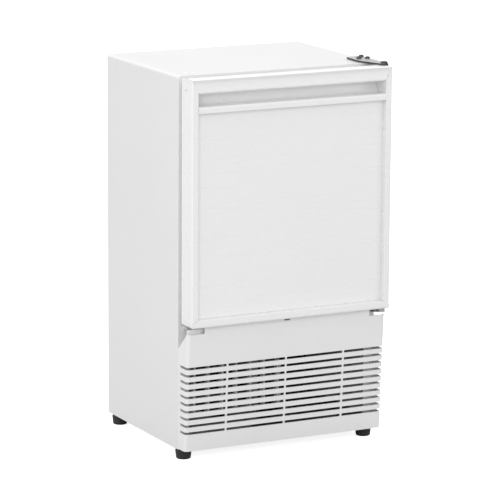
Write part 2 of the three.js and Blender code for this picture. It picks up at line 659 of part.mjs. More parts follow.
function cordGland() {
  const back = REAR - 0.2;
  const gland = joined([
    rod(13, 'y', -128, 48, REAR - 0.5 + GAP / 3, back, 20),
    rod(10.6, 'y', -128, 48, REAR - 12, back, 20),
  ]);
  const bore = rod(4, 'y', -128, 48, REAR - 15, back + 2, 14);
  place('cord_gland', gland.subtract(bore), BLACK_PLASTIC);
}

// ---------------------------------------------------------------- inside the compartment
function evaporator() {
  const inside = LINER.back - LINER.wall;
  const [y0, y1] = [inside - 6, inside - 4];
  const rearPlate = box(-110, 110, y0, y1, 300, 606);
  const roofPlate = box(-110, 110, -30, y1, 604, 606);
  const corners = [[-92, y0 - 1, 590]];
  for (let i = 0; i < 7; i += 1) {
    const z = 590 - i * 40;
    const [a, b] = i % 2 === 0 ? [-92, 92] : [92, -92];
    if (i > 0) corners.push([a, y0 - 1, z]);
    corners.push([b, y0 - 1, z]);
  }
  const channel = tube(bent(corners, 12, 3), 3, 6);
  const studs = [[-98, 320], [98, 320], [-98, 440], [98, 440]].map(([x, z]) =>
    rod(5, 'y', x, z, y0 + 1, inside - GAP, 12));
  place('evaporator_plate', joined([rearPlate, roofPlate, channel, ...studs]), ALUMINIUM);
}

function thermostat() {
  const wall = LINER.side - LINER.wall - GAP;
  const body = roundBox(wall - 30, wall, -96, -44, 540, 600, 5);
  const window = rod(4, 'y', wall - 15, 578, -98, -80, 14);
  place('thermostat_housing', body.subtract(window), GREY_PLASTIC);
  const front = -96 - GAP;
  const cap = joined([
    turned([[0, front - 8], [9, front - 8], [10.5, front - 6], [10.5, front], [0, front]], 'y', wall - 15, 578, 20),
    box(wall - 16.5, wall - 13.5, front - 11, front - 6, 568, 588),
    rod(3.2, 'y', wall - 15, 578, front - 1, -86, 12),
  ]);
  place('thermostat_knob', cap, BLACK_PLASTIC);
}

function iceMould() {
  const { left, right, axisY, axisZ, bore, wall, cells } = MOULD;
  const halfDisc = (r, low) => {
    const s = new THREE.Shape();
    s.moveTo(axisY - r, axisZ + low);
    s.absarc(axisY, axisZ, r, Math.PI, 2 * Math.PI, false);
    s.lineTo(axisY + r, axisZ + low);
    return s;
  };
  let body = prism(halfDisc(bore + wall, 2), 'x', left, right);
  const pitch = (right - left - 2 * wall) / cells;
  const cutters = [];
  for (let i = 0; i < cells; i += 1) {
    const x0 = left + wall + i * pitch + 1.2;
    cutters.push(prism(halfDisc(bore, 6), 'x', x0, x0 + pitch - 2.4));
  }
  cutters.push(box(left + wall + 1.2, right - wall - 1.2, axisY - bore + 5, axisY + bore - 5, axisZ - 9, axisZ + 6));
  cutters.push(rod(4.8, 'x', axisY, axisZ, left - 2, right + 2, 16));
  cutters.push(box(left - 2, right + 2, axisY - 4.8, axisY + 4.8, axisZ, axisZ + 6));
  body = without(body, cutters);
  const lugs = [-80, 30].map((x) => box(x - 7, x + 7, axisY + bore + 1, 120.5, axisZ - 4, axisZ));
  const heater = tube(bent([
    [right - 6, axisY - 14, axisZ - 36], [left + 10, axisY - 14, axisZ - 36],
    [left + 10, axisY + 14, axisZ - 36], [right - 6, axisY + 14, axisZ - 36],
  ], 10, 3), 3.4, 6);
  const saddle = box(left + 4, right - 4, axisY - 18, axisY + 18, axisZ - 36, axisZ - 30);
  place('ice_mould', joined([body, ...lugs, heater, saddle]), ALUMINIUM);
}

function ejector() {
  const { left, right, axisY, axisZ, wall, cells } = MOULD;
  const pitch = (right - left - 2 * wall) / cells;
  const parts = [rod(4, 'x', axisY, axisZ, left - 3, GEAR.left - GAP, 16)];
  for (let i = 0; i < cells; i += 1) {
    const x = left + wall + (i + 0.5) * pitch;
    parts.push(prism([[-3, -3.4], [3, -3.4], [24, 4], [27.5, 8.5], [27, 10.5], [22, 9], [3, 3.4], [-3, 3.4]]
      .map(([a, b]) => [axisY + a, axisZ + b]), 'x', x - 1.6, x + 1.6));
  }
  place('ejector_rake', joined(parts), WHITE_PLASTIC);
}

function stripper() {
  const { left, right, axisY, axisZ, wall, bore, cells } = MOULD;
  const pitch = (right - left - 2 * wall) / cells;
  const z0 = axisZ + 2 + GAP;
  const pieces = [box(left, right, axisY - bore - 8, axisY - bore + 2, z0, z0 + 2.4)];
  for (let i = 0; i <= cells; i += 1) {
    const middle = Math.min(Math.max(left + wall + i * pitch, left + 4), right - 4);
    pieces.push(box(middle - 4, middle + 4, axisY - bore, axisY - 5.5, z0, z0 + 2.4));
  }
  place('ice_stripper', joined(pieces), WHITE_PLASTIC);
}

function toothedWheel(teeth, phase) {
  const pitchRadius = (GEAR.module * teeth) / 2;
  const points = [];
  for (let i = 0; i < teeth; i += 1) {
    const middle = phase + (i * 2 * Math.PI) / teeth;
    const step = (2 * Math.PI) / teeth;
    const corners = [[-0.32, -1.15], [-0.12, 0.8], [0.12, 0.8], [0.32, -1.15]];
    for (const [across, out] of corners) {
      const r = pitchRadius + out * GEAR.module;
      points.push([r * Math.cos(middle + across * step), r * Math.sin(middle + across * step)]);
    }
  }
  return points;
}

function gearTrain() {
  const { axisY, axisZ } = MOULD;
  const { left, right, front, back, bottom, top, wall } = CASE;
  const apart = (GEAR.module * (GEAR.teeth + GEAR.pinionTeeth)) / 2;
  const pinionZ = axisZ - apart;
  const gearEnd = GEAR.left + GEAR.width;
  const big = toothedWheel(GEAR.teeth, -Math.PI / 2).map(([a, b]) => [axisY + a, axisZ + b]);
  const wheel = prism(big, 'x', GEAR.left, gearEnd);
  const boss = rod(7, 'x', axisY, axisZ, GEAR.left, GEAR.left + GEAR.width + 5, 16);
  place('drive_gear', wheel.add(boss), NYLON);
  const halfStep = Math.PI / GEAR.pinionTeeth;
  const teeth = toothedWheel(GEAR.pinionTeeth, Math.PI / 2 + halfStep);
  const small = teeth.map(([a, b]) => [axisY + a, pinionZ + b]);
  const pinion = prism(small, 'x', GEAR.left, gearEnd);
  const stem = rod(2.6, 'x', axisY, pinionZ, GEAR.left + GEAR.width - 1, GEAR.left + GEAR.width + 4, 12);
  place('motor_pinion', pinion.add(stem), ZINC);
  const start = GEAR.left + GEAR.width + 4 + GAP;
  const motor = joined([
    rod(11.5, 'x', axisY, pinionZ, start, start + 20, 20),
    box(start, start + 3, axisY - 18, axisY + 18, pinionZ - 7, pinionZ + 7),
  ]);
  place('drive_motor', motor, ZINC);
  const tub = without(prism(roundRect(front, back, bottom, top, 6), 'x', left, right), [
    prism(roundRect(front + wall, back - wall, bottom + wall, top - wall, 4), 'x', left + wall, right + 2),
    rod(4.6, 'x', axisY, axisZ, left - 2, left + 4, 16),
    rod(3, 'x', ARM.y, ARM.z, left - 2, left + 4, 14),
  ]);
  place('control_case', tub, WHITE_PLASTIC);
  const lid = prism(roundRect(front, back, bottom, top, 6), 'x', right + GAP, right + 2.2);
  const rib = prism(roundRect(front + 8, back - 8, bottom + 8, top - 8, 4), 'x', right + 2, right + 3.4);
  place('control_cover', lid.add(rib), WHITE_PLASTIC);
}

const ARM = { y: 36, z: 494, wire: 1.7 };

function shutoffArm() {
  const { y, z, wire } = ARM;
  const route = [
    [CASE.left + 3.2, y, z], [MOULD.right - 6, y, z], [MOULD.right - 10, y - 34, z - 40],
    [MOULD.left + 8, y - 34, z - 40], [MOULD.left + 4, y, z], [MOULD.left - 6, y, z],
  ];
  place('shutoff_arm', tube(bent(route, 8, 3), wire, 6), ZINC);
}

function fillCup() {
  const x = FILL_X;
  const hollow = roundBox(x - 10, x + 12, 76, 110, 554, 586, 3);
  const cup = roundBox(x - 12, x + 14, 74, 112, 552, 584, 4).subtract(hollow);
  const spout = without(box(x + 13, x + 24, 82, 94, 552, 562), [box(x + 10, x + 30, 84, 92, 554, 570)]);
  const notch = box(x + 10, x + 16, 84, 92, 554, 562);
  place('fill_cup', cup.add(spout).subtract(notch), WHITE_PLASTIC);
}

function iceBin() {
  const [floor, rim] = [LINER.floor + LINER.wall + 0.6, 432];
  const [front, back] = [-72, 112];
  const side = 140;
  const tub = without(prism(roundRect(-side, side, front, back, 12), 'z', floor, rim), [
    prism(roundRect(-side + 2.6, side - 2.6, front + 2.6, back - 2.6, 9.4), 'z', floor + 2.6, rim + 2),
  ]);
  const lip = without(prism(roundRect(-side - 5, side + 5, front - 5, back + 4, 15), 'z', rim - 4, rim - 1), [
    prism(roundRect(-side + 1, side - 1, front + 1, back - 1, 11), 'z', rim - 6, rim + 2),
  ]);
  const grip = prism(roundRect(-38, 38, rim - 16, rim + 10, 10), 'y', front - 10, front + 8);
  place('ice_bin', tub.add(lip).subtract(grip), CLEAR_BIN);
}

// ---------------------------------------------------------------- the whole machine
outerWrapper();
rearPanel();
basePan();
innerLiner();
foamInsulation();
dividerPanel();
crossmember();
hingeHoleCap();
frontGrille();
feet();
topHinge();
bottomHinge();
stile('door_left_stile', -1);
stile('door_right_stile', 1);
bottomRail();
handleRail();
doorFilling();
doorLiner();
hingeBushes();
compressor();
condenser();
coolingFan();
waterSupply();
refrigerantLines();
cordGland();
evaporator();
thermostat();
iceMould();
ejector();
stripper();
gearTrain();
shutoffArm();
fillCup();
iceBin();

export default machine;
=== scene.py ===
import json
import math

import bpy
from mathutils import Matrix, Vector


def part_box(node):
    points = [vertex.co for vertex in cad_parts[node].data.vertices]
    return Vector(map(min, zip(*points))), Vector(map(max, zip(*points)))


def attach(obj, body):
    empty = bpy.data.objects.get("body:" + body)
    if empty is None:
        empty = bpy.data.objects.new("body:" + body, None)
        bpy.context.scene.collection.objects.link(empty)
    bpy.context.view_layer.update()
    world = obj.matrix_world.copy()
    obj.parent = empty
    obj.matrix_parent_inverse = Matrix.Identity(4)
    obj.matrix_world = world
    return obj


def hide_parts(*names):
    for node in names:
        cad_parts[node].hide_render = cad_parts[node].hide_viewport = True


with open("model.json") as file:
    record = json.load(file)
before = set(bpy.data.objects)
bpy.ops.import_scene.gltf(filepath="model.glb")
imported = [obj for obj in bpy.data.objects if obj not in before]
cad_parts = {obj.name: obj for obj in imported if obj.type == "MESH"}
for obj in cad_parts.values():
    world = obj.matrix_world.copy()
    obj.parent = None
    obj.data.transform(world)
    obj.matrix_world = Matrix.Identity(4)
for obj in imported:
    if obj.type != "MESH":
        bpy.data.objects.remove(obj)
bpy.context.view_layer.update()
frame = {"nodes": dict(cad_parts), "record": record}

MM = 0.001
NODES = frame["nodes"]
BODY_OF = {n: body for body, members in frame["record"]["behaviour"]["bodies"].items() for n in members}
SLOT_OF = {s["node"]: s["material_slot"] for s in frame["record"]["subparts"]}

# ---------------------------------------------------------------- sizes in millimetres, from the frame


def span(node):
    low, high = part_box(node)
    return [v / MM for v in low], [v / MM for v in high]


(STILE_IN, DOOR_FRONT, _), (DOOR_SIDE, FRAME_REAR, DOOR_TOP) = span("door_right_stile")
DOOR_BOTTOM = span("door_bottom_rail")[0][2]
RAIL_TOP = span("door_bottom_rail")[1][2]
HANDLE_LOW = span("door_handle_rail")[0][2]
PANEL_LOW, PANEL_HIGH = span("door_insert_panel")
CAB_LOW, CAB_HIGH = span("outer_wrapper")
GRILLE_LOW, GRILLE_HIGH = span("front_grille")
BUSH_LOW, BUSH_HIGH = span("door_top_bush")
HINGE = ((BUSH_LOW[0] + BUSH_HIGH[0]) / 2, (BUSH_LOW[1] + BUSH_HIGH[1]) / 2)
GAP = 0.3
SHEET = 1.2
FLANGE = 20


# ---------------------------------------------------------------- working by hand
def drop_selection():
    if bpy.context.object and bpy.context.object.mode != "OBJECT":
        bpy.ops.object.mode_set(mode="OBJECT")
    bpy.ops.object.select_all(action="DESELECT")


def take_up(piece):
    drop_selection()
    piece.select_set(True)
    bpy.context.view_layer.objects.active = piece


def start_editing(piece):
    take_up(piece)
    bpy.ops.object.mode_set(mode="EDIT")
    bpy.ops.mesh.select_all(action="DESELECT")


def stop_editing():
    bpy.ops.object.mode_set(mode="OBJECT")


def pick(piece, what, test):
    """Selects the faces or vertices whose middle, in millimetres, and normal pass the test."""
    start_editing(piece)
    bpy.ops.mesh.select_mode(type="FACE" if what == "faces" else "VERT")
    stop_editing()
    for part in piece.data.polygons if what == "faces" else piece.data.vertices:
        at = (part.center if what == "faces" else part.co) / MM
        part.select = bool(test(at, part.normal))
    bpy.ops.object.mode_set(mode="EDIT")


def block(name, low, high):
    """A block from one corner to the other, its place held in its mesh."""
    drop_selection()
    middle = [(a + b) / 2 * MM for a, b in zip(low, high)]
    size = [(b - a) * MM for a, b in zip(low, high)]
    bpy.ops.mesh.primitive_cube_add(size=1, location=middle, scale=size)
    piece = bpy.context.object
    piece.name = name
    bpy.ops.object.transform_apply(location=True, rotation=True, scale=True)
    return piece


def into_space(along):
    return {
        "x": lambda a, b, h: Vector((h, a, b)) * MM,
        "y": lambda a, b, h: Vector((a, h, b)) * MM,
        "z": lambda a, b, h: Vector((a, b, h)) * MM,
    }[along]


def drawn_line(name, points):
    """One vertex, extruded from point to point."""
    drop_selection()
    bpy.ops.mesh.primitive_plane_add(size=0.001)
    piece = bpy.context.object
    piece.name = name
    bpy.ops.object.mode_set(mode="EDIT")
    bpy.ops.mesh.select_mode(type="VERT")
    bpy.ops.mesh.select_all(action="SELECT")
    bpy.ops.mesh.merge(type="CENTER")
    bpy.ops.transform.translate(value=points[0])
    for here, there in zip(points, points[1:]):
        bpy.ops.mesh.extrude_vertices_move(TRANSFORM_OT_translate={"value": there - here})
    bpy.ops.mesh.select_all(action="SELECT")
    return piece


def pushed(name, outline, along, start, end):
    """A closed outline filled and extruded along one axis."""
    put = into_space(along)
    piece = drawn_line(name, [put(a, b, start) for a, b in outline])
    bpy.ops.mesh.edge_face_add()
    bpy.ops.mesh.extrude_region_move(TRANSFORM_OT_translate={"value": put(0, 0, end - start)})
    bpy.ops.mesh.select_all(action="SELECT")
    bpy.ops.mesh.normals_make_consistent(inside=False)
    stop_editing()
    return piece


def spun(name, profile, along, centre, steps=32):
    """A profile of radius and height pairs, spun about an axis through the centre."""
    put = into_space(along)
    a, b = centre
    piece = drawn_line(name, [put(a + r, b, h) for r, h in profile])
    axis = {"x": (1, 0, 0), "y": (0, 1, 0), "z": (0, 0, 1)}[along]
    bpy.ops.mesh.spin(steps=steps, angle=2 * math.pi, center=put(a, b, 0), axis=axis)
    bpy.ops.mesh.select_all(action="SELECT")
    bpy.ops.mesh.remove_doubles(threshold=0.00002)
    bpy.ops.mesh.select_all(action="SELECT")
    bpy.ops.mesh.normals_make_consistent(inside=False)
    stop_editing()
    return piece


def arc(centre, radius, start, end, steps=8):
    """Points round part of a circle, angles in degrees."""
    turns = [math.radians(start + (end - start) * i / steps) for i in range(steps + 1)]
    return [(centre[0] + radius * math.cos(t), centre[1] + radius * math.sin(t)) for t in turns]


def use_modifier(piece, kind, **settings):
    take_up(piece)
    modifier = piece.modifiers.new(kind.title(), kind)
    for key, value in settings.items():
        setattr(modifier, key, value)
    bpy.ops.object.modifier_apply(modifier=modifier.name)


def combine(piece, tool, how):
    """Cuts with, adds or keeps what is common with a second mesh, which is then gone."""
    use_modifier(piece, "BOOLEAN", operation=how, object=tool, solver="EXACT")
    bpy.data.objects.remove(tool)


def drill(piece, radius, low, high, centre, along="z", steps=28):
    """A round hole between two heights on an axis."""
    profile = [(0, low), (radius, low), (radius, high), (0, high)]
    combine(piece, spun("drill", profile, along, centre, steps), "DIFFERENCE")


def as_one(pieces, name):
    drop_selection()
    for piece in pieces:
        piece.select_set(True)
    bpy.context.view_layer.objects.active = pieces[0]
    bpy.ops.object.join()
    bpy.context.object.name = name
    return bpy.context.object


def soften(piece, width, segments=3, angle=32):
    """Rounds the hard edges by a width in millimetres and shades what is left smooth."""
    if width:
        use_modifier(piece, "BEVEL", width=width * MM, segments=segments, limit_method="ANGLE",
                     angle_limit=math.radians(angle), use_clamp_overlap=True, miter_outer="MITER_ARC")
    take_up(piece)
    bpy.ops.object.shade_smooth_by_angle(angle=math.radians(35))
    use_modifier(piece, "WEIGHTED_NORMAL", keep_sharp=True, weight=60)


def tidy_mesh(piece, flat_angle=1.0):
    start_editing(piece)
    bpy.ops.mesh.select_all(action="SELECT")
    bpy.ops.mesh.remove_doubles(threshold=0.00002)
    bpy.ops.mesh.dissolve_limited(angle_limit=math.radians(flat_angle))
    stop_editing()


def hand_over(piece, material, *nodes, body=None, slot=None):
    """Gives a finished piece its material and body, and hides the nodes it stands for. The slot argument is
    not used.
    """
    piece.data.materials.clear()
    piece.data.materials.append(material)
    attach(piece, body or BODY_OF[nodes[0]])
    if nodes:
        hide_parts(*nodes)
    return piece


def fine_copy(of_node, width, material, segments=2, angle=35):
    """A node's own shape, merged, with its hard edges rounded."""
    source = NODES[of_node]
    piece = source.copy()
    piece.data = source.data.copy()
    piece.name = "fine_" + of_node
    piece.parent = None
    for key in list(piece.keys()):
        del piece[key]
    bpy.context.scene.collection.objects.link(piece)
    tidy_mesh(piece)
    soften(piece, width, segments, angle)
    return hand_over(piece, material, of_node)


# ---------------------------------------------------------------- shader groups
def new_group(name, inputs, outputs):
    group = bpy.data.node_groups.new(name, "ShaderNodeTree")
    for label, kind, value in inputs:
        socket = group.interface.new_socket(name=label, in_out="INPUT", socket_type=kind)
        socket.default_value = value
    for label, kind in outputs:
        group.interface.new_socket(name=label, in_out="OUTPUT", socket_type=kind)
    return group, group.nodes.new("NodeGroupInput"), group.nodes.new("NodeGroupOutput")


def node(tree, kind, links=(), **settings):
    """Adds a node, sets its properties and defaults, and links its inputs."""
    made = tree.nodes.new(kind)
    for key, value in settings.items():
        if key in made.inputs.keys():
            made.inputs[key].default_value = value
        else:
            setattr(made, key, value)
    for key, source in dict(links).items():
        tree.links.new(source, made.inputs[key])
    return made


def maths(tree, operation, a, b=None, clamp=False):
    made = tree.nodes.new("ShaderNodeMath")
    made.operation = operation
    made.use_clamp = clamp
    for socket, value in zip(made.inputs, (a, b)):
        if isinstance(value, (int, float)):
            socket.default_value = value
        elif value is not None:
            tree.links.new(value, socket)
    return made.outputs[0]


def ramped(tree, value, low, high, to_low=0.0, to_high=1.0):
    made = node(tree, "ShaderNodeMapRange", {"Value": value}, interpolation_type="SMOOTHSTEP")
    for key, number in (("From Min", low), ("From Max", high), ("To Min", to_low), ("To Max", to_high)):
        made.inputs[key].default_value = number
    return made.outputs["Result"]


def object_noise(tree, scale, detail=3.0, roughness=0.55, stretch=None):
    place = node(tree, "ShaderNodeTexCoord").outputs["Object"]
    if stretch:
        mapped = node(tree, "ShaderNodeMapping", {"Vector": place})
        mapped.inputs["Scale"].default_value = stretch
        place = mapped.outputs["Vector"]
    made = node(tree, "ShaderNodeTexNoise", {"Vector": place}, Detail=detail, Roughness=roughness)
    if isinstance(scale, (int, float)):
        made.inputs["Scale"].default_value = scale
    else:
        tree.links.new(scale, made.inputs["Scale"])
    return made.outputs["Fac"]


def make_edge_wear_and_highlight():
    """Marks the outer edges by the spread between the true and the rounded normal, broken up: rubbed wear on
    the dark and metal finishes, a painted highlight where a white finish takes a lighter edge colour, and on
    the hinge plate's top the edge of its painted highlight going back to dark steel.
    """
    group, given, out = new_group(
        "edge_wear_and_highlight",
        [("Width", "NodeSocketFloat", 0.0012), ("Breakup", "NodeSocketFloat", 160.0),
         ("Amount", "NodeSocketFloat", 1.0)],
        [("Mask", "NodeSocketFloat")],
    )
    rounded = node(group, "ShaderNodeBevel", {"Radius": given.outputs["Width"]}, samples=4)
    true = node(group, "ShaderNodeNewGeometry").outputs["Normal"]
    both = node(group, "ShaderNodeVectorMath", {0: rounded.outputs["Normal"], 1: true},
                operation="DOT_PRODUCT")
    turn = ramped(group, maths(group, "SUBTRACT", 1.0, both.outputs["Value"]), 0.01, 0.14)
    worn = ramped(group, object_noise(group, given.outputs["Breakup"], 4.0), 0.38, 0.66)
    mask = maths(group, "MULTIPLY", maths(group, "MULTIPLY", turn, worn), given.outputs["Amount"], clamp=True)
    group.links.new(mask, out.inputs["Mask"])
    return group


def make_dust_film():
    """Fine dust that lies on faces that look up, thicker in patches."""
    group, given, out = new_group(
        "dust_film",
        [("Patch Scale", "NodeSocketFloat", 9.0), ("Amount", "NodeSocketFloat", 0.2)],
        [("Mask", "NodeSocketFloat")],
    )
    normal = node(group, "ShaderNodeNewGeometry").outputs["Normal"]
    up = node(group, "ShaderNodeSeparateXYZ", {"Vector": normal}).outputs["Z"]
    lies = ramped(group, up, 0.55, 0.98)
    patches = ramped(group, object_noise(group, given.outputs["Patch Scale"], 5.0, 0.6), 0.3, 0.75)
    grains = ramped(group, object_noise(group, 2600.0, 1.0), 0.35, 0.7, 0.55, 1.0)
    mask = maths(group, "MULTIPLY", maths(group, "MULTIPLY", lies, patches), grains)
    group.links.new(maths(group, "MULTIPLY", mask, given.outputs["Amount"], clamp=True), out.inputs["Mask"])
    return group


def make_handled():
    """Soft clouds and faint wiped streaks from cleaning, as a value about one half."""
    group, given, out = new_group(
        "handled_surface",
        [("Cloud Scale", "NodeSocketFloat", 6.0), ("Streak Scale", "NodeSocketFloat", 30.0)],
        [("Clouds", "NodeSocketFloat"), ("Streaks", "NodeSocketFloat")],
    )
    clouds = object_noise(group, given.outputs["Cloud Scale"], 4.0, 0.5)
    streaks = object_noise(group, given.outputs["Streak Scale"], 5.0, 0.65, stretch=(0.25, 0.25, 1.6))
    group.links.new(clouds, out.inputs["Clouds"])
    group.links.new(streaks, out.inputs["Streaks"])
    return group


def make_enamel_skin():
    """Orange peel of sprayed enamel over a sheet that is very slightly uneven."""
    group, given, out = new_group(
        "enamel_skin",
        [("Peel Scale", "NodeSocketFloat", 900.0), ("Sheet Wave", "NodeSocketFloat", 0.0)],
        [("Height", "NodeSocketFloat")],
    )
    peel = object_noise(group, given.outputs["Peel Scale"], 2.0, 0.45)
    wave = maths(group, "MULTIPLY", object_noise(group, 7.0, 1.0), given.outputs["Sheet Wave"])
    group.links.new(maths(group, "ADD", peel, wave), out.inputs["Height"])
    return group


def make_moulded_skin():
    """Spark textured mould finish: fine pits over a softer undulation."""
    group, given, out = new_group(
        "moulded_skin",
        [("Grain Scale", "NodeSocketFloat", 1500.0), ("Sink", "NodeSocketFloat", 0.4)],
        [("Height", "NodeSocketFloat")],
    )
    place = node(group, "ShaderNodeTexCoord").outputs["Object"]
    pits = node(group, "ShaderNodeTexVoronoi", {"Vector": place, "Scale": given.outputs["Grain Scale"]},
                feature="SMOOTH_F1")
    fine = object_noise(group, given.outputs["Grain Scale"], 2.0)
    sink = maths(group, "MULTIPLY", object_noise(group, 24.0, 2.0), given.outputs["Sink"])
    mixed = maths(group, "ADD", maths(group, "MULTIPLY", pits.outputs["Distance"], 0.5), fine)
    group.links.new(maths(group, "ADD", mixed, sink), out.inputs["Height"])
    return group


def make_drawn_grain():
    """Fine lines left by rolling or drawing along X, with a few deeper scratches."""
    group, given, out = new_group(
        "drawn_grain",
        [("Line Scale", "NodeSocketFloat", 420.0)],
        [("Height", "NodeSocketFloat"), ("Scratches", "NodeSocketFloat")],
    )
    lines = object_noise(group, given.outputs["Line Scale"], 3.0, 0.6, stretch=(0.05, 1.0, 1.0))
    deep = ramped(group, object_noise(group, 300.0, 2.0, 0.7, stretch=(0.08, 1.0, 0.6)), 0.66, 0.72)
    group.links.new(lines, out.inputs["Height"])
    group.links.new(deep, out.inputs["Scratches"])
    return group


def make_zinc_flakes():
    """The patchwork of a zinc coat, cell by cell."""
    group, given, out = new_group(
        "zinc_flakes",
        [("Flake Scale", "NodeSocketFloat", 140.0)],
        [("Shade", "NodeSocketFloat")],
    )
    place = node(group, "ShaderNodeTexCoord").outputs["Object"]
    cells = node(group, "ShaderNodeTexVoronoi", {"Vector": place, "Scale": given.outputs["Flake Scale"]},
                 feature="F1")
    shade = node(group, "ShaderNodeSeparateColor", {"Color": cells.outputs["Color"]}).outputs["Red"]
    group.links.new(shade, out.inputs["Shade"])
    return group


EDGE_WEAR_AND_HIGHLIGHT = make_edge_wear_and_highlight()
DUST_FILM = make_dust_film()
HANDLED = make_handled()
ENAMEL_SKIN = make_enamel_skin()
MOULDED_SKIN = make_moulded_skin()
DRAWN_GRAIN = make_drawn_grain()
ZINC_FLAKES = make_zinc_flakes()


# ---------------------------------------------------------------- finishes
def use_group(tree, group, **values):
    made = tree.nodes.new("ShaderNodeGroup")
    made.node_tree = group
    for key, value in values.items():
        made.inputs[key.replace("_", " ")].default_value = value
    return made


def blended(tree, factor, first, second):
    made = tree.nodes.new("ShaderNodeMix")
    made.data_type = "RGBA"
    for socket, value in ((made.inputs[0], factor), (made.inputs[6], first), (made.inputs[7], second)):
        if isinstance(value, tuple):
            socket.default_value = (*value, 1.0)
        elif isinstance(value, (int, float)):
            socket.default_value = value
        else:
            tree.links.new(value, socket)
    return made.outputs[2]


def tone(colour, factor):
    return tuple(min(c * factor, 1.0) for c in colour)


def finish(name, colour, rough, spread=0.1, tint=0.96, skin=None, skin_values=None, bump=0.1,
           bump_depth=0.0002, edge=None, edge_width=0.0012, edge_amount=0.5, edge_rough=0.1, dust=0.12,
           dust_colour=(0.62, 0.60, 0.56), flakes=0.0, metallic=0.0, coat=0.0, coat_rough=0.1,
           specular=0.5, sheen=0.0, under=0.0):
    """A finish whose colour, roughness and relief all vary over the surface."""
    made = bpy.data.materials.new(name)
    made.use_nodes = True
    tree = made.node_tree
    shader = tree.nodes["Principled BSDF"]
    for key, value in (("Metallic", metallic), ("Coat Weight", coat), ("Coat Roughness", coat_rough),
                       ("Specular IOR Level", specular), ("Sheen Weight", sheen),
                       ("Subsurface Weight", under)):
        shader.inputs[key].default_value = value
    if under:
        shader.inputs["Subsurface Radius"].default_value = (0.004, 0.004, 0.0045)
        shader.inputs["Subsurface Scale"].default_value = 0.5
    marks = use_group(tree, HANDLED)
    clouds = ramped(tree, marks.outputs["Clouds"], 0.3, 0.7)
    shown = blended(tree, clouds, tone(colour, tint), colour)
    if flakes:
        shade = use_group(tree, ZINC_FLAKES).outputs["Shade"]
        shown = blended(tree, maths(tree, "MULTIPLY", shade, flakes), shown, tone(colour, 0.62))
    # Edge colour over the edge mask: rubbed wear on the dark and metal finishes, a painted highlight on the
    # white finishes whose edge colour is lighter than their body.
    if edge:
        wear_and_highlight = use_group(tree, EDGE_WEAR_AND_HIGHLIGHT, Width=edge_width, Amount=edge_amount).outputs["Mask"]
        shown = blended(tree, wear_and_highlight, shown, edge)
    film = use_group(tree, DUST_FILM, Amount=dust).outputs["Mask"]
    shown = blended(tree, film, shown, dust_colour)
    tree.links.new(shown, shader.inputs["Base Color"])
    level = ramped(tree, marks.outputs["Streaks"], 0.3, 0.7, rough - spread / 2, rough + spread / 2)
    level = maths(tree, "ADD", level, maths(tree, "MULTIPLY", film, 0.25))
    if edge:
        level = maths(tree, "ADD", level, maths(tree, "MULTIPLY", wear_and_highlight, edge_rough), clamp=True)
    tree.links.new(level, shader.inputs["Roughness"])
    relief = use_group(tree, skin or MOULDED_SKIN, **(skin_values or {}))
    raised = node(tree, "ShaderNodeBump", {"Height": relief.outputs["Height"]}, Strength=bump,
                  Distance=bump_depth)
    tree.links.new(raised.outputs["Normal"], shader.inputs["Normal"])
    return made


# The lighter edge colour here is a painted highlight along the cabinet's rounded edges.
CABINET_ENAMEL = finish("cabinet_enamel", (0.775, 0.775, 0.775), 0.34, tint=0.985, skin=ENAMEL_SKIN,
                        bump=0.06, edge=(0.86, 0.86, 0.86), edge_width=0.003, edge_amount=0.35,
                        coat=0.25, coat_rough=0.12, dust=0.05)
PANEL_ENAMEL = finish("panel_enamel", (0.85, 0.85, 0.85), 0.3, tint=0.99, skin=ENAMEL_SKIN, bump=0.05,
                      coat=0.3, coat_rough=0.1, dust=0.03)
# The lighter edge colour here is a painted highlight along the door frame's rounded edges.
FRAME_PLASTIC = finish("frame_plastic", (0.845, 0.845, 0.845), 0.3, tint=0.985, bump=0.05,
                       bump_depth=0.0001, edge=(0.9, 0.9, 0.9), edge_width=0.002, edge_amount=0.4,
                       edge_rough=0.05, dust=0.04)
# The lighter edge colour here is a painted highlight along the grille's rounded edges.
GRILLE_PLASTIC = finish("grille_plastic", (0.81, 0.81, 0.81), 0.42, tint=0.98, bump=0.09,
                        edge=(0.87, 0.87, 0.87), edge_amount=0.35, dust=0.06)
LINER_PLASTIC = finish("liner_plastic", (0.78, 0.80, 0.80), 0.33, tint=0.97, bump=0.06, dust=0.03)
WHITE_PARTS = finish("white_nylon_parts", (0.76, 0.76, 0.74), 0.4, tint=0.97, bump=0.07, dust=0.03)
NATURAL_NYLON = finish("natural_nylon", (0.74, 0.72, 0.64), 0.42, tint=0.95, bump=0.06, dust=0.03)
BIN_PLASTIC = finish("bin_plastic", (0.70, 0.76, 0.80), 0.3, tint=0.97, bump=0.08, dust=0.02, under=0.15)
FOAM = finish("insulation_foam", (0.70, 0.55, 0.27), 0.9, tint=0.8, bump=0.6, bump_depth=0.001,
              skin_values={"Grain_Scale": 420.0}, dust=0.1)
ZINC = finish("zinc_plate", (0.55, 0.56, 0.57), 0.36, spread=0.18, skin=DRAWN_GRAIN, bump=0.08,
              bump_depth=0.0001, flakes=0.45, metallic=0.9, dust=0.1, edge=(0.72, 0.73, 0.74),
              edge_amount=0.5)
